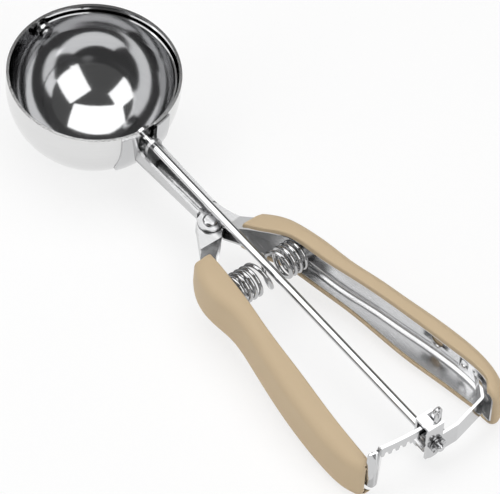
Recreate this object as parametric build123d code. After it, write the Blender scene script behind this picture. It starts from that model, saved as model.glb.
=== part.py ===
"""Lever ice cream scoop: a stainless bowl swept by a half-ring scraper.

Tool frame, used for modelling: X runs along the scraper rod from the bowl to the handles' rear, Y points
from the lever towards the fixed handle, and Z is square to the bowl's rim. The origin is the centre of the
bowl's sphere, which lies on the rod's axis. The finished pieces are then placed as the scoop lies on a
table, on its bowl and on the rear undersides of both handles, with the origin below the middle of its box.
"""
from build123d import *
from math import asin, degrees, pi, sqrt
import os

# bowl
bowl_radius = 30.0              # outside
bowl_wall = 1.0
rim_height = 5.7                # rim above the rod's axis
rod_notch_width = 7.0
saddle_wall = 0.8
saddle_half_width = 10.0
saddle_bottom = -18.0
saddle_drop = 0.5               # saddle's edge below the rim
seat_gap = 0.05                 # between pieces that sit against each other

# rod and scraper
rod_diameter = 3.0
rod_start_gap = 0.6             # rod beyond the blade's near eye
blade_gap = 0.5                 # blade to the bowl's inside
blade_thickness = 0.6
blade_low = -4.5
blade_high = 3.2
eye_diameter = 7.4
eye_thickness = 1.1
eye_set_in = 3.0                # inner face of each eye from the bowl's outside
far_pin_diameter = 2.4
far_head_diameter = 5.6
far_head_height = 1.5
inner_head_diameter = 4.6
inner_head_height = 1.0
running_gap = 0.05              # radial, shafts and rivets in their holes
side_gap = 0.35                 # between bodies, along an axis

# sheet frame: neck, flare and fixed channel
sheet = 0.9
neck_top = -3.0
neck_front = (4.4, -13.0)       # half width and bottom at the bowl
neck_rear = (4.0, -9.4)         # half width and bottom where the flare begins
neck_rear_lead = 5.0            # the flare begins this far in front of the pivot
plate_top = -3.0                # outsides of the frame's two plates at the pivot
plate_bottom = -10.2
bearing_set_out = 3.5           # middle of the bearing from the bowl's outside
bearing_thickness = 1.2
bearing_radius = 3.1

# lever pivot
neck_length = 38.0              # the bowl's outside to the lever's pivot
pivot_y = -2.4
pivot_diameter = 3.2
pivot_head_diameter = 5.2
pivot_head_height = 1.0
ear_radius = 4.2
ear_flank_shape = [(5.2, 0.0), (-6.0, -3.2)]    # from the free edge of the plates round to the ear
knuckle_radius = 4.7
pivot_washer_thickness = 0.3
lever_sheet = 0.8
lever_drop = 0.75               # lever's underside below the fixed handle's, at the rear

# handles seen from above: outside of each metal web, and the free edge of its flanges, front to rear.
# X is from the pivot and is stretched with the lever's length.
lever_length = 114.4            # pivot to the lever's rear end, along the rod
fixed_web_shape = [(-6.0, 4.0), (0.5, 5.4), (8.0, 9.0), (18.0, 14.2), (26.0, 16.7), (36.0, 18.6),
                   (45.7, 20.2), (57.0, 23.1), (68.9, 25.6), (80.0, 28.0), (90.6, 29.9), (105.0, 30.9),
                   (112.5, 29.5), (117.2, 26.6), (118.3, 24.0)]
fixed_edge_shape = [(8.0, 1.8), (12.5, 4.3), (18.0, 7.2), (24.4, 10.8), (36.7, 13.7), (53.3, 17.8),
                    (75.0, 22.5), (96.7, 26.2), (107.0, 27.3), (112.5, 26.2), (114.8, 24.0)]
fixed_low_edge_shape = [(8.0, 1.8), (12.5, 4.3), (18.0, 7.0), (24.4, 10.2), (36.7, 13.2), (53.3, 16.2),
                        (80.0, 19.2), (96.7, 22.2), (107.0, 23.9), (112.0, 24.4), (114.8, 24.0)]
lever_web_shape = [(8.5, -12.8), (15.0, -18.5), (22.6, -22.5), (30.0, -23.3), (39.0, -22.5),
                   (53.0, -24.2), (73.1, -28.0), (89.8, -30.1), (102.0, -30.7), (110.0, -29.9),
                   (114.4, -28.2)]
lever_edge_shape = [(10.0, -5.6), (16.0, -12.8), (23.0, -15.8), (31.0, -17.2), (39.5, -18.2),
                    (52.0, -20.0), (73.0, -22.4), (92.0, -24.7), (114.4, -26.4)]
flange_top_shape = [(-8.0, -3.0), (4.5, -3.0), (12.0, 0.8), (19.0, 3.4), (27.0, 5.0), (52.0, 5.4),
                    (132.0, 5.8)]
flange_bottom_shape = [(-8.0, -10.2), (8.0, -10.2), (52.0, -9.8), (82.0, -9.2), (132.0, -8.2)]
web_hole_diameter = 5.0
web_hole_back = 30.0            # in front of the lever's rear end
web_hole_z = -2.2
handle_middle = -2.5            # height at which the upper and the lower halves of a handle meet
lever_shoulder_shape = (16.0, 1.8)  # where the lever's upper line has risen from its ears

# grips
grip_wall = 2.0
grip_cover = 1.8                # above and below the flanges
cover_stations = (6.0, 12.0, 19.0, 28.0, 47.0, 72.0, 102.0, 132.0)
grip_lip = 0.5                  # past the flanges' free edges
grip_lead_fixed = 11.4          # from the pivot
grip_lead_lever = 12.0
grip_rear_back = 1.6            # metal that shows behind the lever's rubber
grip_round = 4.2

# return spring
spring_lead = 28.4              # from the pivot
spring_z = -2.6                 # below the rod's axis
wire_diameter = 1.4
coil_diameter = 12.0            # outside
coil_middle_pitch = 10.6
coil_left_turns = 7
coil_right_turns = 4
peg_diameter = 6.4
peg_length = 6.0

# rack, pinion and guide
rack_set_back = 0.6             # behind the lever's rear end
tooth_module = 0.9
pinion_teeth = 10
tooth_slope = 0.364             # 20 degree flanks
pinion_width = 4.0
rack_thickness = 1.2
rack_back = 2.975               # solid strip above the teeth
rack_backlash = 0.17
rack_free_y = 0.1               # where the toothed strip ends and its lug begins
rack_joint_y = -20.4            # where the toothed strip ends and its plain tail begins
rack_bend_y = -24.0             # where the tail is square to the rod again
rack_bend_back = 2.0            # behind the lever's rear end
lug_width = 3.6
lug_height = 5.6                # above the strip
lug_hole = 1.3
lobe_middle = (-24.8, 3.6)       # Y and Z
lobe_half = (4.8, 9.5)          # half width and half height
guide_sheet = 1.0
guide_low_y = -4.2
guide_high_y = 2.4
bridge_high_y = -0.3            # right edge of the web that joins the two plates above the rack
guide_gap = 0.45                # to the pinion's faces and above the rack
guide_bottom = -6.4
arm_top = 3.4
arm_bottom = -5.6
nut_core = 0.298                # ring round the rod
nut_reach = 1.4                 # tips from the rod
nut_points = 6
washer_diameter = 5.6
washer_thickness = 0.5
rivet_diameter = 2.4
guide_rivet_back = (16.9, 10.4)     # these five are in front of the lever's rear end
guide_tongue_back = 22.4
guide_tongue_rear_back = 7.4
rack_rivet_back = (18.4, 8.4)
rack_tongue_back = 24.4
guide_rivet_z = -1.0
rack_rivet_z = -2.0
arm_corner_y = 22.6
arm_start_y = 9.0
tongue_bottom = -5.0
tongue_top = 1.5
rack_low = 3.0
nut_point_width = 1.5
nut_thickness = 0.7
rod_past_nut = 1.5
rack_bend_radius = 1.6
arm_bend_radius = 1.5

# worked out
pivot_x = bowl_radius + neck_length
handle_rear_x = pivot_x + lever_length
stretch = lever_length / lever_web_shape[-1][0]
eye_x = bowl_radius - eye_set_in
bearing_x = bowl_radius + bearing_set_out
neck_rear_x = pivot_x - neck_rear_lead
hollow_front_x = neck_rear_x - 8.0      # the channels' hollows reach past the flare
spring_x = pivot_x + spring_lead
web_hole_x = handle_rear_x - web_hole_back
grip_front_fixed = pivot_x + grip_lead_fixed
grip_front_lever = pivot_x + grip_lead_lever
grip_rear_lever = handle_rear_x - grip_rear_back
guide_rivet_x = [handle_rear_x - back for back in guide_rivet_back]
guide_tongue_x = handle_rear_x - guide_tongue_back
guide_tongue_rear_x = handle_rear_x - guide_tongue_rear_back
rack_rivet_x = [handle_rear_x - back for back in rack_rivet_back]
rack_tongue_x = handle_rear_x - rack_tongue_back
rack_bend = (handle_rear_x + rack_bend_back, rack_bend_y)
arm_corner = (handle_rear_x, arm_corner_y)
rack_radius = lever_length + rack_set_back  # about the lever's pivot
pitch_radius = tooth_module * pinion_teeth / 2
addendum = tooth_module
dedendum = 1.25 * tooth_module
rack_top = pitch_radius + dedendum + rack_back
lug_top = rack_top + lug_height
nut_radius = rod_diameter / 2 + nut_reach
rack_x = pivot_x + sqrt(rack_radius ** 2 - pivot_y ** 2)
pinion_front_x = rack_x - pinion_width / 2
pinion_rear_x = rack_x + pinion_width / 2
guide_front_x = pinion_front_x - guide_gap - guide_sheet
guide_rear_x = pinion_rear_x + guide_gap
guide_top = rack_top + guide_gap + guide_sheet
washer_x = guide_rear_x + guide_sheet + side_gap / 2
nut_x = washer_x + washer_thickness + seat_gap
rod_end_x = nut_x + nut_thickness + rod_past_nut
coil_radius = (coil_diameter - wire_diameter) / 2
LONG = 400.0                    # longer than anything here
LONG_EDGE = 60.0                # only a sleeve's long edges are longer
OPEN_SIDE = 60.0                # past the open side of either channel
WALL_REACH = 10.0               # cuts through the bowl's wall go this far to each side of it


def along(x):
    """A shape's X turned into the scoop's: from the pivot, and stretched with the lever's length."""
    return pivot_x + x * stretch


def placed(shape):
    return [(along(x), other) for x, other in shape]


fixed_web = placed(fixed_web_shape)
fixed_edge = placed(fixed_edge_shape)
fixed_low_edge = placed(fixed_low_edge_shape)
lever_web = placed(lever_web_shape)
lever_edge = placed(lever_edge_shape)
flange_top = placed(flange_top_shape)
flange_bottom = placed(flange_bottom_shape)
ear_flank = placed(ear_flank_shape)
lever_shoulder = (along(lever_shoulder_shape[0]), lever_shoulder_shape[1])


def beside(points, distance):
    """The same line moved sideways: to its left when the distance is positive."""
    line = Spline(*points)
    count = 2 * len(points)
    moved = []
    for step in range(count + 1):
        share = step / count
        along = line.tangent_at(share)
        moved.append(line.position_at(share) + Vector(-along.Y, along.X, 0) * distance)
    return moved


def region(*chains):
    """A face whose outline joins the chains of points in turn: smooth inside each, straight between them."""
    edges = []
    for here, following in zip(chains, chains[1:] + chains[:1]):
        if len(here) > 1:
            edges.append(Spline(*here) if len(here) > 2 else Line(*here))
        edges.append(Line(here[-1], following[0]))
    return make_face(edges)


def slab(face, low=-LONG / 2, high=LONG / 2):
    """A plan face made solid between two heights."""
    return extrude(Pos(0, 0, low) * face, high - low)


def between(bottom, top, shift=0.0):
    """Everything between two height lines drawn in XZ, thinned by shift at each."""
    low = [(x, z + shift) for x, z in bottom]
    high = [(x, z - shift) for x, z in reversed(top)]
    face = make_face(Plane.XZ * Polyline(*low, *high, close=True))
    return extrude(face, LONG / 2, both=True)


def height_at(line, x):
    """The height of a line of straight stretches at a given X."""
    for (x0, z0), (x1, z1) in zip(line, line[1:]):
        if x <= x1:
            return z0 + (z1 - z0) * (x - x0) / (x1 - x0)
    return line[-1][1]


def smoothed(line, shift):
    """The same line as one smooth curve, raised by shift."""
    return Spline(*[(x, height_at(line, x) + shift) for x in map(along, cover_stations)])


def covered(bottom, top):
    """Everything within the rubber's cover above and below two height lines."""
    low = smoothed(bottom, -grip_cover)
    high = smoothed(top, grip_cover)
    edges = [low, high, Line(low @ 0, high @ 0), Line(low @ 1, high @ 1)]
    return extrude(make_face([Plane.XZ * edge for edge in edges]), LONG / 2, both=True)


def disc(diameter, x0, x1, y=0.0, z=0.0):
    """A cylinder along X."""
    return Pos((x0 + x1) / 2, y, z) * Rot(0, 90, 0) * Cylinder(diameter / 2, abs(x1 - x0))


def post(diameter, z0, z1, x, y):
    """A cylinder along Z."""
    return Pos(x, y, (z0 + z1) / 2) * Cylinder(diameter / 2, abs(z1 - z0))


def bowl_blank(radius, top):
    """A hemisphere with a short cylinder above it, solid."""
    half_ball = Sphere(radius) - Pos(0, 0, LONG / 2) * Box(LONG, LONG, LONG)
    return half_ball + Pos(0, 0, top / 2) * Cylinder(radius, top)


def rod_notch():
    """The slot, open at the rim, that lets the rod through the bowl's wall."""
    round_end = disc(rod_notch_width, bowl_radius - WALL_REACH, bowl_radius + WALL_REACH)
    return round_end + Pos(bowl_radius, 0, LONG / 2) * Box(2 * WALL_REACH, rod_notch_width, LONG)


def bowl():
    shell = bowl_blank(bowl_radius, rim_height) - bowl_blank(bowl_radius - bowl_wall, rim_height + 1)
    shell -= rod_notch()
    shell -= disc(far_pin_diameter, -bowl_radius - WALL_REACH, -bowl_radius + WALL_REACH)
    return shell


def saddle():
    inner = bowl_radius + seat_gap
    top = rim_height - saddle_drop
    shell = bowl_blank(inner + saddle_wall, top) - bowl_blank(inner, top + 1)
    tall = top - saddle_bottom
    window = Pos(bowl_radius, 0, (top + saddle_bottom) / 2) * Box(bowl_radius, 2 * saddle_half_width, tall)
    window = fillet(window.edges().filter_by(Axis.X).group_by(Axis.Z)[0], 6.0)
    return (shell & window) - rod_notch()


def trough(width_gain, bottom_gain, top):
    """The neck's rounded trough as a solid, tapering from the bowl to the flare."""
    sections = []
    for x, (half, bottom) in ((bowl_radius - WALL_REACH, neck_front), (neck_rear_x, neck_rear)):
        half += width_gain
        bottom += bottom_gain
        middle = bottom + half
        outline = [
            Line((x, -half, top), (x, -half, middle)),
            ThreePointArc((x, -half, middle), (x, 0, bottom), (x, half, middle)),
            Line((x, half, middle), (x, half, top)),
            Line((x, half, top), (x, -half, top)),
        ]
        sections.append(Face(Wire(outline)))
    return loft(sections, ruled=True)


def neck():
    body = trough(0, 0, neck_top) - trough(-sheet, sheet, neck_top + 5)
    keep = bowl_blank(bowl_radius + 2 * seat_gap + saddle_wall, 20)
    return body - keep


def frame_plan(edge):
    """A plate of the frame seen from above, from the ear around the pivot to the hooked rear end."""
    outline = region(fixed_web, list(reversed(edge)), ear_flank)
    ear = Pos(pivot_x, pivot_y) * Circle(ear_radius)
    return outline + ear


def halves(upper, lower):
    """Two plan faces made solid, one above the handles' middle and one below it."""
    return slab(upper, handle_middle, LONG) + slab(lower, -LONG, handle_middle)


def frame_hollow():
    """The space inside the frame's web, open towards the rod."""
    inside = beside(fixed_web, -sheet)
    return rod_side(inside, 1)


def rod_side(line, side):
    """All that lies on the rod's side of a web, in plan; side is 1 for the fixed handle, -1 for the lever."""
    line = [Vector(*point) for point in line]
    far = -side * OPEN_SIDE
    return region(line, [(line[-1].X, far)], [(hollow_front_x, far)], [(hollow_front_x, line[0].Y)])


def frame():
    solid = halves(frame_plan(fixed_edge), frame_plan(fixed_low_edge)) & between(flange_bottom, flange_top)
    solid -= slab(frame_hollow()) & between(flange_bottom, flange_top, sheet)
    solid += neck()
    solid -= across(web_hole_diameter, 20.0, 40.0, web_hole_x, web_hole_z)
    solid -= post(pivot_diameter, -LONG / 2, LONG / 2, pivot_x, pivot_y)
    return solid


def rod_bearing():
    """The upright tab in the neck that steadies the rod just behind the bowl."""
    low = neck_front[1] + 4.0
    tab = Pos(bearing_x, 0, 0) * Rot(0, 90, 0) * Cylinder(bearing_radius, bearing_thickness)
    tab += Pos(bearing_x, 0, low / 2) * Box(bearing_thickness, 2 * bearing_radius, -low)
    return tab - disc(rod_diameter + 2 * running_gap, bowl_radius, bearing_x + WALL_REACH)


def lever_plan():
    """The lever's plates seen from above, with the knuckle round the pivot."""
    outline = region(lever_web, list(reversed(lever_edge)))
    joint_to_web = region([(pivot_x - 3.2, pivot_y - 3.4), lever_web[0]], [lever_web[1]],
                          [lever_edge[1]], [lever_edge[0]], [(pivot_x + 4.0, pivot_y + 2.4)])
    return outline + joint_to_web + Pos(pivot_x, pivot_y) * Circle(knuckle_radius)


def lever_hollow():
    """The space inside the lever's web, open towards the rod."""
    inside = beside(lever_web, lever_sheet)
    main = region(inside, [(inside[-1].X + 20, inside[-1].Y)], [(inside[-1].X + 20, OPEN_SIDE)],
                  [(pivot_x, OPEN_SIDE)], [(pivot_x, inside[0].Y + 8.5)])
    return main + Pos(pivot_x, pivot_y) * Circle(knuckle_radius - lever_sheet)


def lever_top():
    """The lever's upper height line: under the frame's plate at the pivot, then level with the frame."""
    low = plate_top - sheet - side_gap
    return [(along(-8.0), low), (along(7.0), low), lever_shoulder, *flange_top[4:]]


def lever_bottom():
    high = plate_bottom + sheet + side_gap
    front_x, rear_x = flange_bottom[2][0], flange_bottom[-1][0]
    dropped = [(x, z - lever_drop * (x - front_x) / (rear_x - front_x)) for x, z in flange_bottom[2:]]
    return [(along(-8.0), high), (along(6.5), high), (along(14.0), plate_bottom), *dropped]


def lever():
    solid = slab(lever_plan()) & between(lever_bottom(), lever_top())
    solid -= slab(lever_hollow()) & between(lever_bottom(), lever_top(), lever_sheet)
    solid -= post(pivot_diameter + 2 * running_gap, -LONG / 2, LONG / 2, pivot_x, pivot_y)
    return solid - across(web_hole_diameter, -20.0, -40.0, web_hole_x, web_hole_z)


def sleeve(web, edge, low_edge, side, bottom, top):
    """A rubber sleeve's outer form over a channel; side is 1 when the web faces +Y and -1 otherwise."""
    outside = beside(web, side * grip_wall)
    lip, low_lip = [list(reversed(beside(line, -side * grip_lip))) for line in (edge, low_edge)]
    return halves(region(outside, lip), region(outside, low_lip)) & covered(bottom, top)


def soften(body, side, radius):
    """Round the long edges where the sleeve's outer wall meets its top and bottom."""
    walls = [face for face in body.faces() if face.normal_at().Y * side > 0.5]
    wall = max(walls, key=lambda face: face.area)
    return fillet([edge for edge in wall.edges() if edge.length > LONG_EDGE], radius)


def fixed_grip():
    body = sleeve(fixed_web, fixed_edge, fixed_low_edge, 1, flange_bottom, flange_top)
    body &= Pos(grip_front_fixed + LONG / 2, 0, 0) * Box(LONG, LONG, LONG)
    body = soften(body, 1, grip_round)
    return body - (slab(rod_side(fixed_web, 1)) & between(flange_bottom, flange_top))


def lever_grip():
    body = sleeve(lever_web, lever_edge, lever_edge, -1, lever_bottom(), lever_top())
    middle = (grip_front_lever + grip_rear_lever) / 2
    body &= Pos(middle, 0, 0) * Box(grip_rear_lever - grip_front_lever, LONG, LONG)
    body = soften(body, -1, grip_round)
    return body - (slab(rod_side(lever_web, -1)) & between(lever_bottom(), lever_top()))


def at_x(points, x):
    """The place on a smooth line where it crosses a given X."""
    line = Spline(*points)
    low, high = 0.0, 1.0
    while high - low > 1e-6:
        middle = (low + high) / 2
        if line.position_at(middle).X < x:
            low = middle
        else:
            high = middle
    return line.position_at(low)


def across(diameter, y0, y1, x, z):
    """A cylinder along Y."""
    return Pos(x, (y0 + y1) / 2, z) * Rot(90, 0, 0) * Cylinder(diameter / 2, abs(y1 - y0))


def pivot_rivet():
    """The rivet that joins lever and frame: a domed head on each plate."""
    shank = post(pivot_diameter, plate_bottom, plate_top, pivot_x, pivot_y)
    for face_z, up in ((plate_top, 1), (plate_bottom, -1)):
        z0 = face_z + up * seat_gap
        z1 = z0 + up * pivot_head_height
        shank += post(pivot_diameter, face_z, z1, pivot_x, pivot_y)
        head = post(pivot_head_diameter, z0, z1, pivot_x, pivot_y)
        end = head.edges().sort_by(Axis.Z)[-1 if up > 0 else 0]
        shank += fillet(end, pivot_head_height * 0.8)
    return shank


def pivot_washers():
    """Two thin washers between the frame's plates and the lever's."""
    gap = (side_gap - pivot_washer_thickness) / 2
    pair = []
    for low in (plate_top - sheet - side_gap + gap, plate_bottom + sheet + gap):
        ring = post(pivot_head_diameter, low, low + pivot_washer_thickness, pivot_x, pivot_y)
        pair.append(ring - post(pivot_diameter + 2 * running_gap, low - 1, low + 1, pivot_x, pivot_y))
    return pair


def coil(pitch, turns, start):
    """A stretch of the spring's wire, made along Z and starting above its top."""
    path = Pos(0, 0, start) * Rot(0, 0, -90) * Helix(pitch, pitch * turns, coil_radius)
    end = Plane(origin=path @ 0, z_dir=path % 0)
    return sweep(end * Circle(wire_diameter / 2), path=path, is_frenet=True)


def spring_seats():
    """Y of the wire's middle at the lever's seat and at the fixed handle's."""
    room = wire_diameter / 2 + side_gap
    low = max(at_x(lever_web, spring_x + side * coil_radius).Y for side in (-1, 1))
    high = at_x(fixed_web, spring_x - coil_radius).Y
    return low + lever_sheet + room, high - sheet - room


def spring():
    """Close turns at each end and one wide turn in the middle that lets the rod pass."""
    low, high = spring_seats()
    half = coil_middle_pitch / 2
    wire = coil((-half - low) / coil_left_turns, coil_left_turns, low)
    wire += coil(coil_middle_pitch, 1, -half)
    wire += coil((high - half) / coil_right_turns, coil_right_turns, half)
    for height in (-half, half):
        wire += Pos(0, -coil_radius, height) * Sphere(wire_diameter / 2)
    return Pos(spring_x, 0, spring_z) * Rot(-90, 0, 0) * wire


def peg(web, side, thickness, hollow):
    """The stud inside one end of the spring, its back shaped to the web it is welded to."""
    wall = at_x(web, spring_x).Y
    inner = wall - side * (thickness + peg_length)
    stud = across(peg_diameter, wall + side * 2, inner, spring_x, spring_z)
    tip = stud.edges().filter_by(GeomType.CIRCLE).sort_by(Axis.Y)[0 if side > 0 else -1]
    return chamfer(tip, 1.0) & slab(hollow)


def fixed_spring_peg():
    return peg(fixed_web, 1, sheet, frame_hollow())


def lever_spring_peg():
    return peg(lever_web, -1, lever_sheet, lever_hollow())


def scraper_blade():
    """A half ring that fits the bowl's inside, with an eye at each end on the rod's axis."""
    outer = bowl_radius - bowl_wall - blade_gap
    ring = Sphere(outer) - Sphere(outer - blade_thickness)
    height = blade_high - blade_low
    reach = 2 * (eye_x + eye_thickness)
    ring &= Pos(0, outer / 2, (blade_low + blade_high) / 2) * Box(reach, outer, height)
    for side, bore in ((1, rod_diameter), (-1, far_pin_diameter + 2 * running_gap)):
        ring += disc(eye_diameter, side * eye_x, side * (eye_x + eye_thickness))
        ring -= disc(bore, side * (eye_x - 1), side * (outer + 1))
    return ring


def scraper_rod():
    rod = disc(rod_diameter, eye_x - rod_start_gap, rod_end_x)
    rod = chamfer(rod.edges().sort_by(Axis.X)[-1], 0.4)
    return fillet(rod.edges().sort_by(Axis.X)[0], 0.5)


def far_pivot_pin():
    """The rivet in the bowl's far wall on which the blade's other eye turns."""
    wall = bowl_radius + seat_gap
    inner = eye_x - side_gap
    pin = disc(far_pin_diameter, -wall, -inner)
    head = disc(far_head_diameter, -wall - far_head_height, -wall)
    pin += fillet(head.edges().sort_by(Axis.X)[0], far_head_height * 0.85)
    tail = disc(inner_head_diameter, -inner, -inner + inner_head_height)
    return pin + fillet(tail.edges().sort_by(Axis.X)[-1], inner_head_height * 0.7)


def far_pivot_washer():
    start = eye_x + eye_thickness + side_gap
    end = bowl_radius - bowl_wall - 3 * seat_gap
    ring = disc(inner_head_diameter, -start, -end)
    return ring - disc(far_pin_diameter + running_gap, -start + 1, -end - 1)


def tooth(inner, outer):
    """Half widths of a straight-sided tooth at two distances from the pitch line, for a rack or a gear."""
    half = pi * tooth_module / 4 - rack_backlash
    return half + tooth_slope * inner, half - tooth_slope * outer


def pinion():
    """Ten teeth round the rod; at rest a gap points straight up at the rack."""
    root = pitch_radius - dedendum
    tip = pitch_radius + addendum * 0.8
    low, high = tooth(dedendum * 0.6, addendum * 0.8)
    blank = Circle(root)
    outline = [(root - 0.5, -low), (tip, -high), (tip, high), (root - 0.5, low)]
    shape = make_face(Polyline(*outline, close=True))
    step = 360 / pinion_teeth
    for number in range(pinion_teeth):
        blank += Rot(0, 0, 90 + step * (number + 0.5)) * shape
    blank -= Circle(rod_diameter / 2)
    return extrude(Plane.YZ.offset(pinion_front_x) * blank, pinion_width)


def about_pivot(radius, y):
    """The plan point at a given Y on a circle about the lever's pivot."""
    return (pivot_x + sqrt(radius ** 2 - (y - pivot_y) ** 2), y)


def rack_strip_plan(y0, y1):
    """The toothed strip seen from above: an arc about the lever's pivot."""
    middle = (y0 + y1) / 2
    arc = ThreePointArc(*[about_pivot(rack_radius, y) for y in (y0, middle, y1)])
    return trace(arc, line_width=rack_thickness)


def rack_tail_plan():
    """The untoothed end seen from above: joggled to the lever's rear, then forward along its web."""
    seat = lever_sheet + seat_gap + rack_thickness / 2
    inside = [point for point in beside(lever_web, seat) if rack_tongue_x < point.X < lever_web[-1][0]]
    joint = about_pivot(rack_radius, rack_joint_y)
    corner = (rack_bend[0], inside[-1].Y)
    path = FilletPolyline(joint, rack_bend, corner, inside[-1], radius=rack_bend_radius)
    return trace([*path.edges(), Spline(*inside)], line_width=rack_thickness)


def lug_outline():
    """The lug's upright rectangle with a round top, long in X."""
    round_top = lug_width / 2
    middle_y = rack_free_y + round_top
    straight = Pos(0, middle_y, lug_top - round_top - LONG / 2) * Box(LONG, lug_width, LONG)
    return straight + disc(lug_width, 0, LONG, middle_y, lug_top - round_top)


def rack():
    """A strip on the lever's end, toothed below, with a stop lug at its free end."""
    tips = pitch_radius - addendum * 0.8
    roots = pitch_radius + dedendum
    strip = slab(rack_strip_plan(rack_joint_y, rack_free_y + lug_width), tips, rack_top)
    root_half, tip_half = tooth(dedendum, addendum * 0.8)
    spacing = pi * tooth_module
    outline = [(-spacing / 2 + tip_half, tips - 1), (spacing / 2 - tip_half, tips - 1),
               (spacing / 2 - root_half, roots), (-spacing / 2 + root_half, roots)]
    gap = extrude(Plane.YZ * make_face(Polyline(*outline, close=True)), 2 * rack_thickness, both=True)
    start = degrees(asin(-pivot_y / rack_radius))
    gaps = int((rack_free_y - rack_joint_y) / spacing) + 1
    for number in range(gaps):
        turn = start - degrees(spacing * (number - 0.5) / rack_radius)
        strip -= Pos(pivot_x, pivot_y, 0) * Rot(0, 0, turn) * Pos(rack_radius, 0, 0) * gap
    lug = slab(rack_strip_plan(rack_free_y, rack_free_y + lug_width), roots, lug_top)
    strip += lug & lug_outline()
    strip -= disc(lug_hole, rack_x - 3, rack_x + 3, rack_free_y + lug_width / 2, lug_top - lug_width / 2)
    tail = slab(rack_tail_plan())
    forward = Pos(lever_web[-1][0] - LONG / 2 + 0.6, 0, 0) * Box(LONG, LONG, LONG)
    inner = forward & Pos(0, rack_bend[1] - LONG / 2, 0) * Box(LONG, LONG, LONG)
    tongue = slab(Rectangle(LONG, LONG), tongue_bottom, tongue_top)
    neck_low = slab(Rectangle(LONG, LONG), rack_low, rack_top)
    lobe = extrude(Plane.YZ * Pos(*lobe_middle) * Ellipse(*lobe_half), LONG, both=True)
    tail = (tail & inner & tongue) + ((tail - inner) & lobe) + ((tail - inner) & neck_low)
    return strip + tail


def rivets(web, side, depth, places, z):
    """Flush rivets through a web and the plate inside it, as deep as the two together."""
    both_plates = slab(region(web, list(reversed(beside(web, -side * depth)))))
    made = []
    for x in places:
        wall = at_x(web, x).Y
        made.append(across(rivet_diameter, wall - 8, wall + 8, x, z) & both_plates)
    return made


def rivet_bores(places, y, z):
    """Cylinders to cut for rivets at the same places."""
    return [across(rivet_diameter, y - 8, y + 8, x, z) for x in places]


def guide_plan():
    """The guide's plate seen from above: square to the rod, then forward along the fixed handle's web."""
    seat = sheet + seat_gap + guide_sheet / 2
    inside = [point for point in beside(fixed_web, -seat) if guide_tongue_x < point.X < guide_tongue_rear_x]
    plate_x = guide_rear_x + guide_sheet / 2
    path = FilletPolyline((plate_x, guide_low_y), (plate_x, arm_start_y), arm_corner, inside[-1],
                          radius=arm_bend_radius)
    return trace([*path.edges(), Spline(*inside)], line_width=guide_sheet)


def rod_guide():
    """The U that holds the rod's end, the pinion and the rack together, on an arm from the fixed handle."""
    arm = slab(guide_plan(), arm_bottom, arm_top)
    width = guide_high_y - guide_low_y
    middle_y = (guide_high_y + guide_low_y) / 2
    height = guide_top - guide_bottom
    plate = Rectangle(width, height)
    plate = fillet(plate.vertices().group_by(Axis.Y)[0], width * 0.45)
    side = extrude(Plane.YZ * Pos(middle_y, (guide_top + guide_bottom) / 2) * plate, guide_sheet)
    ear = Pos(guide_front_x, 0, 0) * side
    rear = Pos(guide_rear_x, 0, 0) * side
    length = guide_rear_x + guide_sheet - guide_front_x
    bridge_width = bridge_high_y - guide_low_y
    bridge = Pos(guide_front_x + length / 2, guide_low_y + bridge_width / 2, guide_top - guide_sheet / 2)
    body = arm + ear + rear + bridge * Box(length, bridge_width, guide_sheet)
    return body - disc(rod_diameter + 2 * running_gap, guide_front_x - 1, guide_rear_x + guide_sheet + 1)


def rear_washer():
    ring = disc(washer_diameter, washer_x, washer_x + washer_thickness)
    return ring - disc(rod_diameter, washer_x - 1, washer_x + 2)


def push_nut():
    """The star-shaped spring nut pressed on the rod's end."""
    star = Circle(rod_diameter / 2 + nut_core)
    point = Rectangle(nut_radius, nut_point_width)
    for number in range(nut_points):
        star += Rot(0, 0, 360 / nut_points * number) * Pos(nut_radius / 2, 0) * point
    star -= Circle(rod_diameter / 2)
    return extrude(Plane.YZ.offset(nut_x) * star, nut_thickness)


def build():
    """Every piece in the tool frame, by name."""
    guide_bores = rivet_bores(guide_rivet_x, at_x(fixed_web, guide_rivet_x[0]).Y, guide_rivet_z)
    rack_bores = rivet_bores(rack_rivet_x, at_x(lever_web, rack_rivet_x[0]).Y, rack_rivet_z)
    guide_depth = sheet + seat_gap + guide_sheet
    rack_depth = lever_sheet + seat_gap + rack_thickness
    guide_set = rivets(fixed_web, 1, guide_depth, guide_rivet_x, guide_rivet_z)
    rack_set = rivets(lever_web, -1, rack_depth, rack_rivet_x, rack_rivet_z)
    return {
        "bowl": bowl(),
        "saddle": saddle(),
        "fixed_frame": frame() - guide_bores,
        "fixed_grip": fixed_grip(),
        "rod_bearing": rod_bearing(),
        "lever": lever() - rack_bores,
        "lever_grip": lever_grip(),
        "pivot_rivet": pivot_rivet(),
        "pivot_washers": Compound(pivot_washers()),
        "return_spring": spring(),
        "fixed_spring_peg": fixed_spring_peg(),
        "lever_spring_peg": lever_spring_peg(),
        "scraper_blade": scraper_blade(),
        "scraper_rod": scraper_rod(),
        "far_pivot_pin": far_pivot_pin(),
        "far_pivot_washer": far_pivot_washer(),
        "pinion": pinion(),
        "rack": rack() - rack_bores,
        "rack_rivets": Compound(rack_set),
        "rod_guide": rod_guide() - guide_bores,
        "guide_rivets": Compound(guide_set),
        "rear_washer": rear_washer(),
        "push_nut": push_nut(),
    }


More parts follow.
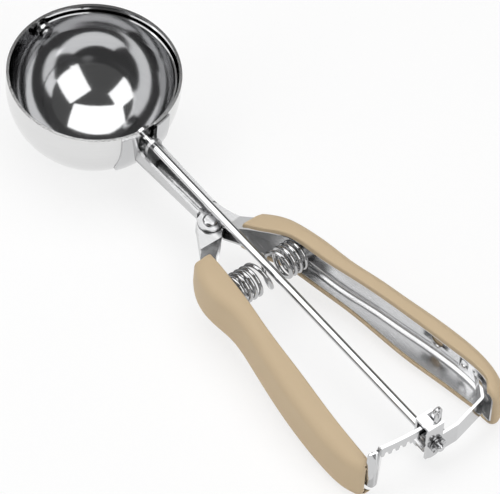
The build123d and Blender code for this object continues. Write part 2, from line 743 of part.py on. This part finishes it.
def resting(pieces):
    """Tilt the scoop on to its bowl and its handles' rear, and find the middle of its box."""
    handles = [pieces[name] for name in ("fixed_grip", "lever_grip", "rack", "fixed_frame", "lever")]
    low, high = 0.0, 15.0
    while high - low > 1e-4:
        tilt = (low + high) / 2
        lowest = min((Rot(0, tilt, 0) * piece).bounding_box().min.Z for piece in handles)
        if lowest > -bowl_radius:
            low = tilt
        else:
            high = tilt
    turned = Rot(0, low, 0)
    whole = Compound([turned * piece for piece in pieces.values()]).bounding_box()
    centre = whole.center()
    return Pos(-centre.X, -centre.Y, -whole.min.Z) * turned


def main():
    os.makedirs("parts", exist_ok=True)
    pieces = build()
    place = resting(pieces)
    for name, piece in pieces.items():
        export_step(place * piece, f"parts/{name}.step")
    return pieces, place


if __name__ == "__main__":
    main()
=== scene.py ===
from math import cos, pi, radians, sin, sqrt, tan

import bmesh
import bpy
import numpy as np
from mathutils import Matrix, Quaternion, Vector

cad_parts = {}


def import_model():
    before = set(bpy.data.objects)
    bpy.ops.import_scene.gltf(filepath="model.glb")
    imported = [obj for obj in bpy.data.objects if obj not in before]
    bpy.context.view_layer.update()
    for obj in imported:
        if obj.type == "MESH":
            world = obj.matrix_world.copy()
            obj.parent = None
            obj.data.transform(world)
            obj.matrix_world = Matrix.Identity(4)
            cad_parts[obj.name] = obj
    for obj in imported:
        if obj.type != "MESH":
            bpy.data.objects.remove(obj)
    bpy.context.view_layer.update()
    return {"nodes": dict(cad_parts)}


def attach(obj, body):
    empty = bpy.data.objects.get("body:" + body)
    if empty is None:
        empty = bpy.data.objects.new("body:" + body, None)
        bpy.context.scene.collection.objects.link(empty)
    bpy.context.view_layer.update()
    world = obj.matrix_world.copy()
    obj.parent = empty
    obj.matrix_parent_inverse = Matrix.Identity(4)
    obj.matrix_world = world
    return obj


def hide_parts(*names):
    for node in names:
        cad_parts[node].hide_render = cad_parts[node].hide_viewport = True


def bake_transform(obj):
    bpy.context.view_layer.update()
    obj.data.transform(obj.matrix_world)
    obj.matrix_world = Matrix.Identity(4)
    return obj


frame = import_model()
nodes = frame["nodes"]

# The lever ice cream scoop on a white studio table: polished steel, spring wire and tan rubber.
# The scoop's own frame: X along the rod, Z square to the bowl's rim, origin at the middle of the bowl's ball.
BOWL_MIDDLE = Vector((-0.0784354, -0.0001344, 0.030))
BOWL_RADIUS = 0.030
TILT = radians(6.0447)
SCOOP = Matrix.Translation(BOWL_MIDDLE) @ Matrix.Rotation(TILT, 4, "Y")
PIVOT_X = 68.0                  # the lever's pivot, in millimetres along the rod
MILLIMETRE = 0.001


class Signal:
    """A number that varies over a surface. Arithmetic on it adds Math nodes."""

    def __init__(self, finish, socket):
        self.finish, self.socket = finish, socket

    def _math(self, operation, a, b):
        made = self.finish.node("ShaderNodeMath", {"operation": operation}, {0: a, 1: b})
        return Signal(self.finish, made.outputs[0])

    def __add__(self, other):
        return self._math("ADD", self, other)

    def __radd__(self, other):
        return self._math("ADD", other, self)

    def __sub__(self, other):
        return self._math("SUBTRACT", self, other)

    def __rsub__(self, other):
        return self._math("SUBTRACT", other, self)

    def __mul__(self, other):
        return self._math("MULTIPLY", self, other)

    def __rmul__(self, other):
        return self._math("MULTIPLY", other, self)


class Finish:
    """A material under construction."""

    def __init__(self, name, **settings):
        self.material = bpy.data.materials.new(name)
        self.material.use_nodes = True
        self.tree = self.material.node_tree
        self.shader = self.tree.nodes["Principled BSDF"]
        self.output = self.tree.nodes["Material Output"]
        for socket, value in settings.items():
            self.shader.inputs[socket.replace("_", " ")].default_value = value

    def node(self, kind, settings, inputs):
        """Any node: its settings first, then values or links for its sockets."""
        made = self.tree.nodes.new(kind)
        for name, value in settings.items():
            setattr(made, name, value)
        for name, value in inputs.items():
            self.join(value, made.inputs[name])
        return made

    def join(self, value, socket):
        if isinstance(value, Signal):
            value = value.socket
        if isinstance(value, bpy.types.NodeSocket):
            self.tree.links.new(value, socket)
        else:
            socket.default_value = value

    def place(self, scale=(1, 1, 1)):
        """Object coordinates, stretched."""
        where = self.node("ShaderNodeTexCoord", {}, {}).outputs["Object"]
        return self.node("ShaderNodeMapping", {}, {"Vector": where, "Scale": scale}).outputs[0]

    def noise(self, scale, detail=3.0, rough=0.5, where=None):
        made = self.node("ShaderNodeTexNoise", {}, {
            "Vector": where or self.place(), "Scale": scale, "Detail": detail, "Roughness": rough})
        return Signal(self, made.outputs["Fac"])

    def tint(self, mask, dark, light):
        """A base colour that runs from dark to light as mask runs from 0 to 1."""
        mixed = self.node("ShaderNodeMix", {"data_type": "RGBA"}, {0: mask, 6: (*dark, 1), 7: (*light, 1)})
        self.join(mixed.outputs[2], self.shader.inputs["Base Color"])

    def roughness(self, mask, smooth, dull):
        """Runs from smooth to dull as mask runs from 0 to 1."""
        self.join(mask * (dull - smooth) + smooth, self.shader.inputs["Roughness"])

    def bump(self, height, depth, strength):
        made = self.node("ShaderNodeBump", {}, {"Height": height, "Distance": depth, "Strength": strength})
        self.join(made.outputs[0], self.shader.inputs["Normal"])

    def wear(self, *names):
        """Puts this finish on CAD nodes."""
        for name in names:
            self.dress(nodes[name])

    def dress(self, piece):
        piece.data.materials.clear()
        piece.data.materials.append(self.material)


# ---- finishes

SHEET_SHADE, WIRE_SHADE, PIN_SHADE = 0.62, 0.52, 0.48
# painted shade and light: the bowl's steel is darker inside, as painted shade, and lighter outside, as painted
# light
BOWL_INSIDE_PAINTED_SHADE, BOWL_OUTSIDE_PAINTED_LIGHT = (0.46, 0.462, 0.468), (0.76, 0.76, 0.758)
BOWL_SHEET = (0.0009, 0.0002)   # how far in from the ball the bowl's painted inner shade and painted outer light are reached
TAN_HOLLOW, TAN_CROWN = (0.550, 0.424, 0.272), (0.602, 0.470, 0.308)


def polished(name, shade=SHEET_SHADE, smooth=0.06, dull=0.16, spun=0.0):
    """Buffed stainless steel: near mirror, with faint clouding and the buffing wheel's fine lines."""
    made = Finish(name, Metallic=1.0, Anisotropic=spun)
    cloud = made.noise(70.0, 4.0, 0.6)
    grit = made.noise(900.0, 2.0, 0.6)
    made.tint(cloud, (shade * 0.93, shade * 0.935, shade * 0.95), (shade, shade, shade * 1.005))
    made.roughness(cloud * 0.7 + grit * 0.3, smooth, dull)
    made.bump(grit, 0.00002, 0.25)
    return made


def satin():
    """Pressed sheet steel: polished along its length, which leaves long soft streaks."""
    made = Finish("satin_steel", Metallic=1.0)
    streak = made.noise(1.0, 3.0, 0.6, made.place((60.0, 900.0, 900.0)))
    cloud = made.noise(55.0, 4.0, 0.6)
    mask = streak * 0.6 + cloud * 0.4
    made.tint(mask, [SHEET_SHADE * part for part in (0.88, 0.885, 0.90)], [SHEET_SHADE * 1.05] * 3)
    made.roughness(mask, 0.16, 0.34)
    made.bump(streak, 0.00003, 0.3)
    return made


def spun():
    """The bowl's steel: spun on a lathe, with a darker base colour inside the bowl as painted shade, which dims
    the reflections there, and a lighter one outside as painted light.
    """
    made = polished("spun_steel", dull=0.12, spun=0.45)
    middle = nodes["bowl"].matrix_world.inverted() @ BOWL_MIDDLE
    where = made.node("ShaderNodeTexCoord", {}, {}).outputs["Object"]
    away = made.node("ShaderNodeVectorMath", {"operation": "DISTANCE"}, {0: where, 1: tuple(middle)})
    inner, outer = (BOWL_RADIUS - depth for depth in BOWL_SHEET)
    # painted shade and light: 0 inside the bowl, for the darker painted shade, and 1 outside, for the lighter
    # painted light
    painted_shade_to_light = made.node("ShaderNodeMapRange", {}, {
        "Value": away.outputs["Value"], "From Min": inner, "From Max": outer})
    brushed = made.noise(1.0, 3.0, 0.6, made.place((35.0, 35.0, 1400.0)))
    # painted shade inside and painted light outside, with a little random brushed tone
    made.tint(Signal(made, painted_shade_to_light.outputs["Result"]) * 0.8 + brushed * 0.2, BOWL_INSIDE_PAINTED_SHADE, BOWL_OUTSIDE_PAINTED_LIGHT)
    return made


def rubber():
    """Soft-touch rubber: matt, with a fine even grain and a faint random mottle between a darker and a lighter
    tan.
    """
    made = Finish("tan_rubber", Specular_IOR_Level=0.35)
    grain = made.noise(2600.0, 2.0, 0.5)
    patch = made.noise(45.0, 3.0, 0.5)
    made.tint(patch * 0.6 + grain * 0.4, TAN_HOLLOW, TAN_CROWN)
    made.roughness(grain, 0.52, 0.72)
    made.bump(grain, 0.00004, 0.5)
    return made


def edged(width, *names):
    """Breaks the sharp edges of CAD nodes, as tumbling does, so that they catch the light."""
    for name in names:
        edge = nodes[name].modifiers.new("broken_edges", "BEVEL")
        edge.width, edge.segments = width * MILLIMETRE, 2
        edge.limit_method, edge.angle_limit = "ANGLE", radians(50)
        edge.harden_normals = True
        weld = nodes[name].modifiers.new("weld", "WELD")
        weld.merge_threshold = 0.003 * MILLIMETRE


# ---- shapes

def scoop_point(across, height):
    """A point given in millimetres, in plan from the lever's pivot and in height from the rod's line."""
    return SCOOP @ (Vector((PIVOT_X + across[0], across[1], height)) * MILLIMETRE)


def mesh_piece(name, points, faces):
    """A smooth-shaded piece from its points and its faces, which all face outward."""
    data = bpy.data.meshes.new(name)
    data.from_pydata([tuple(point) for point in points], [], faces)
    data.polygons.foreach_set("use_smooth", [True] * len(data.polygons))
    data.update()
    made = bpy.data.objects.new(name, data)
    bpy.context.scene.collection.objects.link(made)
    return made


def rod_faces(rings, count):
    """The skin and both ends of a solid rod, drawn as so many rings of count points."""
    faces = []
    for ring in range(rings - 1):
        here, there = ring * count, (ring + 1) * count
        for i in range(count):
            beside = (i + 1) % count
            faces.append((here + i, here + beside, there + beside, there + i))
    last = (rings - 1) * count
    return faces + [tuple(reversed(range(count))), tuple(range(last, last + count))]


# The return spring, in the scoop's own frame: its axis runs straight across between the handles.
SPRING_X, SPRING_Z = 0.0964, -0.0026
SPRING_LEVER_SEAT, SPRING_FIXED_SEAT = -0.02079, 0.01400
COIL_RADIUS, WIRE_RADIUS = 0.0053, 0.00077
# turns counted from the lever's seat, and how far across each has come: the wide one passes under the rod
TURNS = [(0, SPRING_LEVER_SEAT), (7, -0.0053), (8, 0.0053), (12, SPRING_FIXED_SEAT)]
EASE, EASE_STEPS = 0.22, 6      # part of a turn to each side over which the pitch changes, and its steps
RINGS_PER_TURN, WIRE_SIDES = 36, 14


def across_at(turn):
    """How far across the wire is after so many turns, before easing."""
    return float(np.interp(turn, *zip(*TURNS)))


def eased(turn):
    """The same with closed ends and no kinks where the pitch changes."""
    shares = [EASE * step / EASE_STEPS for step in range(-EASE_STEPS, EASE_STEPS + 1)]
    return sum(across_at(turn + share) for share in shares) / len(shares)


def spring():
    """The coiled wire, whose ends sit on the two handles and whose turns close up between them."""
    last = TURNS[-1][0] * RINGS_PER_TURN
    centres, outward = [], []
    for ring in range(last + 1):
        turn = ring / RINGS_PER_TURN
        out = Vector((sin(2 * pi * turn), 0, cos(2 * pi * turn)))
        centres.append(Vector((SPRING_X, eased(turn), SPRING_Z)) + out * COIL_RADIUS)
        outward.append(out)
    points = []
    for ring in range(last + 1):
        ahead = (centres[min(ring + 1, last)] - centres[max(ring - 1, 0)]).normalized()
        side = ahead.cross(outward[ring])
        for step in range(WIRE_SIDES):
            turn = 2 * pi * step / WIRE_SIDES
            out = outward[ring] * cos(turn) + side * sin(turn)
            points.append(SCOOP @ (centres[ring] + out * WIRE_RADIUS))
    made = mesh_piece("spring_coils", points, rod_faces(last + 1, WIRE_SIDES))
    wire_steel.dress(made)
    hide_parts("return_spring")
    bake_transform(made)


# The handles: plan lines in millimetres, X from the lever's pivot, front to rear.
FIXED_WEB = [(8.4, 10.0), (18.0, 14.8), (26.0, 16.7), (36.0, 18.6), (45.7, 20.2), (57.0, 23.1), (68.9, 25.6),
             (80.0, 28.0), (90.6, 29.9), (105.0, 30.9), (112.5, 29.5), (117.2, 26.6), (118.3, 24.0)]
FIXED_WEB_METAL = [(8.0, 9.0), *FIXED_WEB[2:]]
FIXED_TOP_EDGE = [(9.0, 3.6), (18.0, 7.2), (24.4, 10.8), (36.7, 13.7), (53.3, 17.8), (75.0, 22.5), (96.7, 26.2),
                  (107.0, 27.3), (112.5, 26.2), (114.8, 24.0)]
FIXED_LOW_EDGE = [(9.0, 3.6), (18.0, 7.0), (24.4, 10.2), (36.7, 13.2), (53.3, 16.2), (80.0, 19.2), (96.7, 22.2),
                  (107.0, 23.9), (112.0, 24.4), (114.8, 24.0)]
LEVER_WEB = [(8.5, -12.8), (15.0, -18.5), (22.6, -22.5), (30.0, -23.3), (39.0, -22.5), (53.0, -24.2),
             (73.1, -28.0), (89.8, -30.1), (102.0, -30.7), (110.0, -29.9), (114.4, -28.2)]
LEVER_EDGE = [(13.0, -14.4), (17.0, -15.0), (23.0, -16.0), (31.0, -17.2), (39.5, -18.2), (52.0, -20.0),
              (73.0, -22.4), (92.0, -24.7), (114.4, -26.4)]
# tops and undersides of the metal channels inside the grips, X and height
CHANNEL_TOP = [(4.5, -3.0), (12.0, 0.8), (19.0, 3.4), (27.0, 5.0), (52.0, 5.4), (132.0, 5.8)]
FIXED_LOW = [(8.0, -10.2), (52.0, -9.8), (82.0, -9.2), (132.0, -8.2)]
LEVER_LOW = [(8.0, -10.2), (52.0, -10.1), (82.0, -9.8), (132.0, -9.1)]
FRAME_SHEET, LEVER_SHEET = 0.9, 0.8
BEND_RADIUS, BEND_STATIONS, BENDS_END = 2.3, 80, 112.0
GRIP_WALL, GRIP_COVER, GRIP_LIP = 2.0, 1.8, 0.5
GRIP_ROUND, LIP_ROUND, FRONT_ROUND = 4.2, 0.8, 0.9
SUNK = 0.1                      # a piece on the metal lies this far in it, so that no gap shows
GRIP_STATIONS = 90
HEIGHT_STATIONS = (6.0, 12.0, 19.0, 28.0, 47.0, 72.0, 102.0, 132.0)
CREASE = radians(38)            # sharper corners than this stay crisp
LINE_POINTS, LINE_LOOK = 600, 0.6


class Line:
    """A smooth line through points, followed by its length."""

    def __init__(self, points):
        given = np.array(points, float)
        gaps = np.hypot(*np.diff(given, axis=0).T)
        knots = np.concatenate([[0], np.cumsum(gaps)])
        many = np.linspace(0, knots[-1], LINE_POINTS)
        self.points = np.column_stack([self._through(knots, given[:, axis], many) for axis in (0, 1)])

    @staticmethod
    def _through(knots, values, many):
        """A natural cubic curve through the values."""
        gap, slope = np.diff(knots), np.diff(values) / np.diff(knots)
        count = len(knots)
        system, right = np.eye(count), np.zeros(count)
        for i in range(1, count - 1):
            system[i, i - 1:i + 2] = gap[i - 1], 2 * (gap[i - 1] + gap[i]), gap[i]
            right[i] = 6 * (slope[i] - slope[i - 1])
        bend = np.linalg.solve(system, right)
        i = np.clip(np.searchsorted(knots, many) - 1, 0, count - 2)
        here, there = many - knots[i], knots[i + 1] - many
        return ((bend[i] * there ** 3 + bend[i + 1] * here ** 3) / (6 * gap[i])
                + (values[i] / gap[i] - bend[i] * gap[i] / 6) * there
                + (values[i + 1] / gap[i] - bend[i + 1] * gap[i] / 6) * here)

    def starting(self, x):
        """The part of the line from a given X on."""
        self.points = self.points[np.argmax(self.points[:, 0] >= x):]
        self.reach = np.concatenate([[0], np.cumsum(np.hypot(*np.diff(self.points, axis=0).T))])
        self.length = self.reach[-1]
        return self

    def at(self, distance):
        """The place so far along, and past the end on a straight run."""
        place = np.array([np.interp(distance, self.reach, self.points[:, axis]) for axis in (0, 1)])
        if distance > self.length:
            place += (distance - self.length) * self.way(self.length)
        return place

    def way(self, distance):
        """The direction of travel there."""
        back, on = max(distance - LINE_LOOK, 0), min(distance + LINE_LOOK, self.length)
        back = min(back, self.length - LINE_LOOK)
        step = self.at(on) - self.at(back)
        return step / np.hypot(*step)


def level(line, x):
    """The height that a height line gives at X."""
    return float(np.interp(x, *zip(*line)))


def eased_level(line, x):
    """The same height line as one smooth curve."""
    curve = Line([(station, level(line, station)) for station in HEIGHT_STATIONS]).points
    return float(np.interp(x, curve[:, 0], curve[:, 1]))


def quarter(middle, radius, start, count):
    """Points on a quarter circle, anticlockwise from a given angle."""
    angles = [radians(start + 90 * step / (count - 1)) for step in range(count)]
    return [(middle[0] + radius * cos(angle), middle[1] + radius * sin(angle)) for angle in angles]


def grip_section(top, low, top_width, low_width, inset):
    """The rubber's outline across the handle, from the upper lip round the wall to the lower lip.
    The first number runs from the web towards the rod and the second is the height."""
    wall, corner = GRIP_WALL - inset, GRIP_ROUND - inset * 0.6
    upper_lip, lower_lip = top_width + GRIP_LIP - inset * 0.4, low_width + GRIP_LIP - inset * 0.4
    top, low = top - inset, low + inset
    outline = quarter((upper_lip - LIP_ROUND, top - LIP_ROUND), LIP_ROUND, 0, 5)
    inner, outer = upper_lip - LIP_ROUND, -wall + corner
    outline += [(inner + (outer - inner) * share, top) for share in (0.33, 0.66)]
    outline += quarter((outer, top - corner), corner, 90, 9)
    high, deep = top - corner, low + corner
    outline += [(-wall, high + (deep - high) * share) for share in (0.25, 0.5, 0.75)]
    outline += quarter((outer, deep), corner, 180, 9)
    inner = lower_lip - LIP_ROUND
    outline += [(outer + (inner - outer) * share, low) for share in (0.33, 0.66)]
    return outline + quarter((inner, low + LIP_ROUND), LIP_ROUND, 270, 5)


def grip_stops(whole, rear_round):
    """Where the sleeve's sections stand, and how far each draws in round the two ends."""
    def drawn_in(radius, gone):
        return radius - sqrt(radius ** 2 - (radius - gone) ** 2)

    front = [(gone, drawn_in(FRONT_ROUND, gone)) for gone in (0.0, 0.1, 0.3, 0.6)]
    middle = [(distance, 0.0) for distance in np.linspace(FRONT_ROUND, whole - rear_round, GRIP_STATIONS)]
    rear = [(whole - left, drawn_in(rear_round, left)) for left in (
        share * rear_round for share in (0.6, 0.3, 0.1, 0.0))]
    return front + middle + rear


def grip_ring(distance, inset, web, edges, channel_low, side):
    """The sleeve's outer outline at one stop, then its inner one, which lies in the metal."""
    root, way = web.at(distance), web.way(distance)
    outward = np.array((-way[1], way[0])) * side
    reaches = [edge.at(distance / web.length * edge.length) - root for edge in edges]
    widths = [np.hypot(*across) for across in reaches]
    upper_way, lower_way = (across / width for across, width in zip(reaches, widths))
    outline = grip_section(eased_level(CHANNEL_TOP, root[0]) + GRIP_COVER,
                           eased_level(channel_low, root[0]) - GRIP_COVER, *widths, inset)
    high, deep = level(CHANNEL_TOP, root[0]) - SUNK, level(channel_low, root[0]) + SUNK
    inside = [(max(u, SUNK), min(max(z, deep), high)) for u, z in outline]
    ring = []
    for loop in (outline, inside):
        for number, (u, z) in enumerate(loop):
            inward = upper_way if number < len(outline) // 2 else lower_way
            point = scoop_point(root + (inward * u if u > 0 else outward * -u), z)
            point.z = max(point.z, 0.0)  # the rubber gives where it lies on the table
            ring.append(point)
    return ring


def grip_faces(rings, count):
    """The sleeve's outer and inner walls, its two lips and its two ends."""
    faces = []
    for ring in range(rings - 1):
        here, there = ring * 2 * count, (ring + 1) * 2 * count
        for loop, turn in ((0, 1), (count, -1)):
            for i in range(loop, loop + count - 1):
                faces.append((here + i, here + i + 1, there + i + 1, there + i)[::turn])
        for i, turn in ((0, 1), (count - 1, -1)):
            faces.append((here + i, there + i, there + count + i, here + count + i)[::turn])
    for start, turn in ((0, -1), ((rings - 1) * 2 * count, 1)):
        for i in range(start, start + count - 1):
            faces.append((i, i + 1, count + i + 1, count + i)[::turn])
    return faces


def closed_up(made):
    """Joins the points that the sleeve's inner corners press together."""
    shell = bmesh.new()
    shell.from_mesh(made.data)
    bmesh.ops.remove_doubles(shell, verts=shell.verts, dist=0.002 * MILLIMETRE)
    bmesh.ops.dissolve_degenerate(shell, edges=shell.edges, dist=0.001 * MILLIMETRE)
    for face in shell.faces:
        face.smooth = True
    shell.to_mesh(made.data)
    shell.free()


def grip(name, stands_for, body, web, edges, channel_low, side, front, past_end, rear_round):
    """A rubber sleeve on one handle. side is 1 for the fixed handle and -1 for the lever."""
    web, *edges = (Line(points).starting(front) for points in (web, *edges))
    rings = [grip_ring(distance, inset, web, edges, channel_low, side)
             for distance, inset in grip_stops(web.length + past_end, rear_round)]
    faces = grip_faces(len(rings), len(rings[0]) // 2)
    if side > 0:
        faces = [face[::-1] for face in faces]
    made = mesh_piece(name, sum(rings, []), faces)
    closed_up(made)
    made.data.set_sharp_from_angle(angle=CREASE)
    grip_rubber.dress(made)
    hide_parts(stands_for)
    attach(made, body)


def bend(name, body, web, height_line, up, side, sheet, start):
    """The rounded inside corner where a channel's web turns into a flange. up is 1 for the lower flange
    and -1 for the upper one; side is 1 for the fixed handle and -1 for the lever."""
    line = Line(web).starting(start)
    profile = quarter((sheet + BEND_RADIUS, BEND_RADIUS), BEND_RADIUS, 180, 9) + [(sheet - SUNK, -SUNK)]
    points = []
    for distance in np.linspace(0, line.length, BEND_STATIONS):
        root, way = line.at(distance), line.way(distance)
        if root[0] >= BENDS_END:
            break
        inward = np.array((way[1], -way[0])) * side
        flange = level(height_line, root[0]) + up * sheet
        points += [scoop_point(root + inward * u, flange + up * rise) for u, rise in profile]
    faces = rod_faces(len(points) // len(profile), len(profile))
    if side * up < 0:
        faces = [face[::-1] for face in faces]
    made = mesh_piece(name, points, faces)
    made.data.set_sharp_from_angle(angle=CREASE)
    satin_steel.dress(made)
    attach(made, body)


# ---- studio

LAMP_AWAY = 1.2
TABLE_ACROSS, TABLE_WHITE, TABLE_GLOW = 6, 0.95, 0.75
ROOM_LEVEL, WALL_LEVEL, WINDOW_LEVEL = 0.13, 0.32, 0.55
WINDOW_WAY = (-0.92, 0.38, 0.08)
# the view, as picture directions in the scoop's own frame
PICTURE_RIGHT = (0.6159, 0.7857, 0.0579)
PICTURE_UP = (-0.6476, 0.4631, 0.6050)
VIEW_SCALE = 2939.0             # picture dots to a metre
MIDDLE_DOT = (93.54, 82.87)     # where the middle of the bowl's ball shows
PICTURE = (500, 494)
LENS, SENSOR = 600.0, 36.0


def softbox(name, towards, wide, tall, level, turn=0.0):
    """A square-cornered lamp, seen from the scoop in a direction, so many degrees wide and tall.
    turn is how far it is rolled about that direction, in degrees."""
    data = bpy.data.lights.new(name, "AREA")
    data.shape = "RECTANGLE"
    data.size, data.size_y = (2 * LAMP_AWAY * tan(radians(angle) / 2) for angle in (wide, tall))
    data.energy = level * pi * data.size * data.size_y
    made = bpy.data.objects.new(name, data)
    bpy.context.scene.collection.objects.link(made)
    back = Vector(towards).normalized()
    made.location = back * LAMP_AWAY
    made.rotation_euler = (back.to_track_quat("Z", "Y") @ Quaternion((0, 0, 1), radians(turn))).to_euler()


def floor():
    """The white table. It keeps the scoop's shadow, and looks white itself and in the steel."""
    bpy.ops.mesh.primitive_plane_add(size=TABLE_ACROSS, location=(0, 0, 0))
    made = bpy.context.object
    made.name = "table_top"
    finish = Finish("table_white", Roughness=0.9, Base_Color=(TABLE_WHITE, TABLE_WHITE, TABLE_WHITE, 1))
    path = finish.node("ShaderNodeLightPath", {}, {})
    seen = (Signal(finish, path.outputs["Is Camera Ray"]) + Signal(finish, path.outputs["Is Glossy Ray"])
            + Signal(finish, path.outputs["Is Transmission Ray"]))
    glow = finish.node("ShaderNodeEmission", {}, {"Color": (1, 1, 1, 1), "Strength": 1.0})
    mixed = finish.node("ShaderNodeMixShader", {}, {
        0: seen * TABLE_GLOW, 1: finish.shader.outputs[0], 2: glow.outputs[0]})
    finish.join(mixed.outputs[0], finish.output.inputs["Surface"])
    finish.dress(made)


class Room(Finish):
    """The studio's surroundings, which the steel reflects."""

    def __init__(self):
        made = bpy.data.worlds.new("studio")
        bpy.context.scene.world = made
        made.use_nodes = True
        self.tree = made.node_tree
        self.back = self.tree.nodes["Background"]
        self.way = self.node("ShaderNodeTexCoord", {}, {}).outputs["Generated"]

    def along(self, towards):
        """How far each direction leans towards the one given, from -1 to 1."""
        axis = tuple(Vector(towards).normalized())
        made = self.node("ShaderNodeVectorMath", {"operation": "DOT_PRODUCT"}, {0: self.way, 1: axis})
        return Signal(self, made.outputs["Value"])

    def step(self, signal, low, high):
        """0 below low and 1 above high, with a soft edge between."""
        made = self.node("ShaderNodeMapRange", {"interpolation_type": "SMOOTHSTEP"}, {
            "Value": signal, "From Min": low, "From Max": high})
        return Signal(self, made.outputs["Result"])


def world():
    """A dim room round the table: its walls are grey near the table's level and dark above, with a pale window
    low beyond the bowl."""
    room = Room()
    height = room.along((0, 0, 1))
    walls = room.step(height, 0.0, 0.10) * (1 - room.step(height, 0.12, 0.40))
    window = room.step(room.along(WINDOW_WAY), 0.88, 0.97)
    room.join(walls * WALL_LEVEL + window * WINDOW_LEVEL + ROOM_LEVEL, room.back.inputs["Strength"])
    room.back.inputs["Color"].default_value = (1, 1, 1, 1)


def camera():
    turn = SCOOP.to_3x3()
    right = (turn @ Vector(PICTURE_RIGHT)).normalized()
    back = right.cross(turn @ Vector(PICTURE_UP)).normalized()
    up = back.cross(right)
    aim = (BOWL_MIDDLE - right * ((MIDDLE_DOT[0] - PICTURE[0] / 2) / VIEW_SCALE)
           + up * ((MIDDLE_DOT[1] - PICTURE[1] / 2) / VIEW_SCALE))
    data = bpy.data.cameras.new("camera")
    data.lens, data.sensor_width = LENS, SENSOR
    away = PICTURE[0] / VIEW_SCALE * LENS / SENSOR
    data.clip_start, data.clip_end = away * 0.2, away * 4
    made = bpy.data.objects.new("camera", data)
    bpy.context.scene.collection.objects.link(made)
    axes = Matrix((right, up, back)).transposed()
    made.matrix_world = Matrix.Translation(aim + back * away) @ axes.to_4x4()
    bpy.context.scene.camera = made


# ---- the scoop

edged(0.28, "bowl", "saddle")
edged(0.18, "fixed_frame", "lever", "scraper_blade", "rod_guide")
edged(0.12, "rack", "push_nut", "pinion", "rear_washer")

spun().wear("bowl")
satin_steel = satin()
satin_steel.wear("fixed_frame", "lever")
polished("polished_steel").wear(
    "saddle", "scraper_blade", "scraper_rod", "rack", "rack_rivets", "rod_guide", "guide_rivets")
polished("plain_steel", WIRE_SHADE, 0.18, 0.30).wear(
    "rod_bearing", "pivot_washers", "fixed_spring_peg", "lever_spring_peg", "far_pivot_washer", "pinion",
    "rear_washer", "push_nut")
polished("pin_steel", PIN_SHADE, 0.05, 0.12).wear("pivot_rivet", "far_pivot_pin")
wire_steel = polished("wire_steel", WIRE_SHADE, 0.05, 0.12)
grip_rubber = rubber()

spring()
FIXED_BEND = {"body": "frame", "web": FIXED_WEB_METAL, "side": 1, "sheet": FRAME_SHEET, "start": 30.0}
LEVER_BEND = {"body": "lever", "web": LEVER_WEB, "side": -1, "sheet": LEVER_SHEET, "start": 34.0}
bend("fixed_channel_lower_bend", height_line=FIXED_LOW, up=1, **FIXED_BEND)
bend("fixed_channel_upper_bend", height_line=CHANNEL_TOP, up=-1, **FIXED_BEND)
bend("lever_channel_lower_bend", height_line=LEVER_LOW, up=1, **LEVER_BEND)
bend("lever_channel_upper_bend", height_line=CHANNEL_TOP, up=-1, **LEVER_BEND)
grip("fixed_handle_rubber", "fixed_grip", "frame", FIXED_WEB, (FIXED_TOP_EDGE, FIXED_LOW_EDGE), FIXED_LOW,
     side=1, front=9.6, past_end=0.2, rear_round=1.8)
grip("lever_handle_rubber", "lever_grip", "lever", LEVER_WEB, (LEVER_EDGE, LEVER_EDGE), LEVER_LOW,
     side=-1, front=14.2, past_end=1.0, rear_round=1.9)

floor()
world()
camera()
softbox("ceiling_softbox", (-0.23, 0.07, 0.97), 66, 42, 2.1, -25)
softbox("rear_softbox", (0.75, 0.04, 0.66), 38, 46, 2.0)
softbox("lever_side_softbox", (-0.215, -0.78, 0.585), 28, 50, 2.0)
bpy.context.scene.view_settings.view_transform = "Standard"
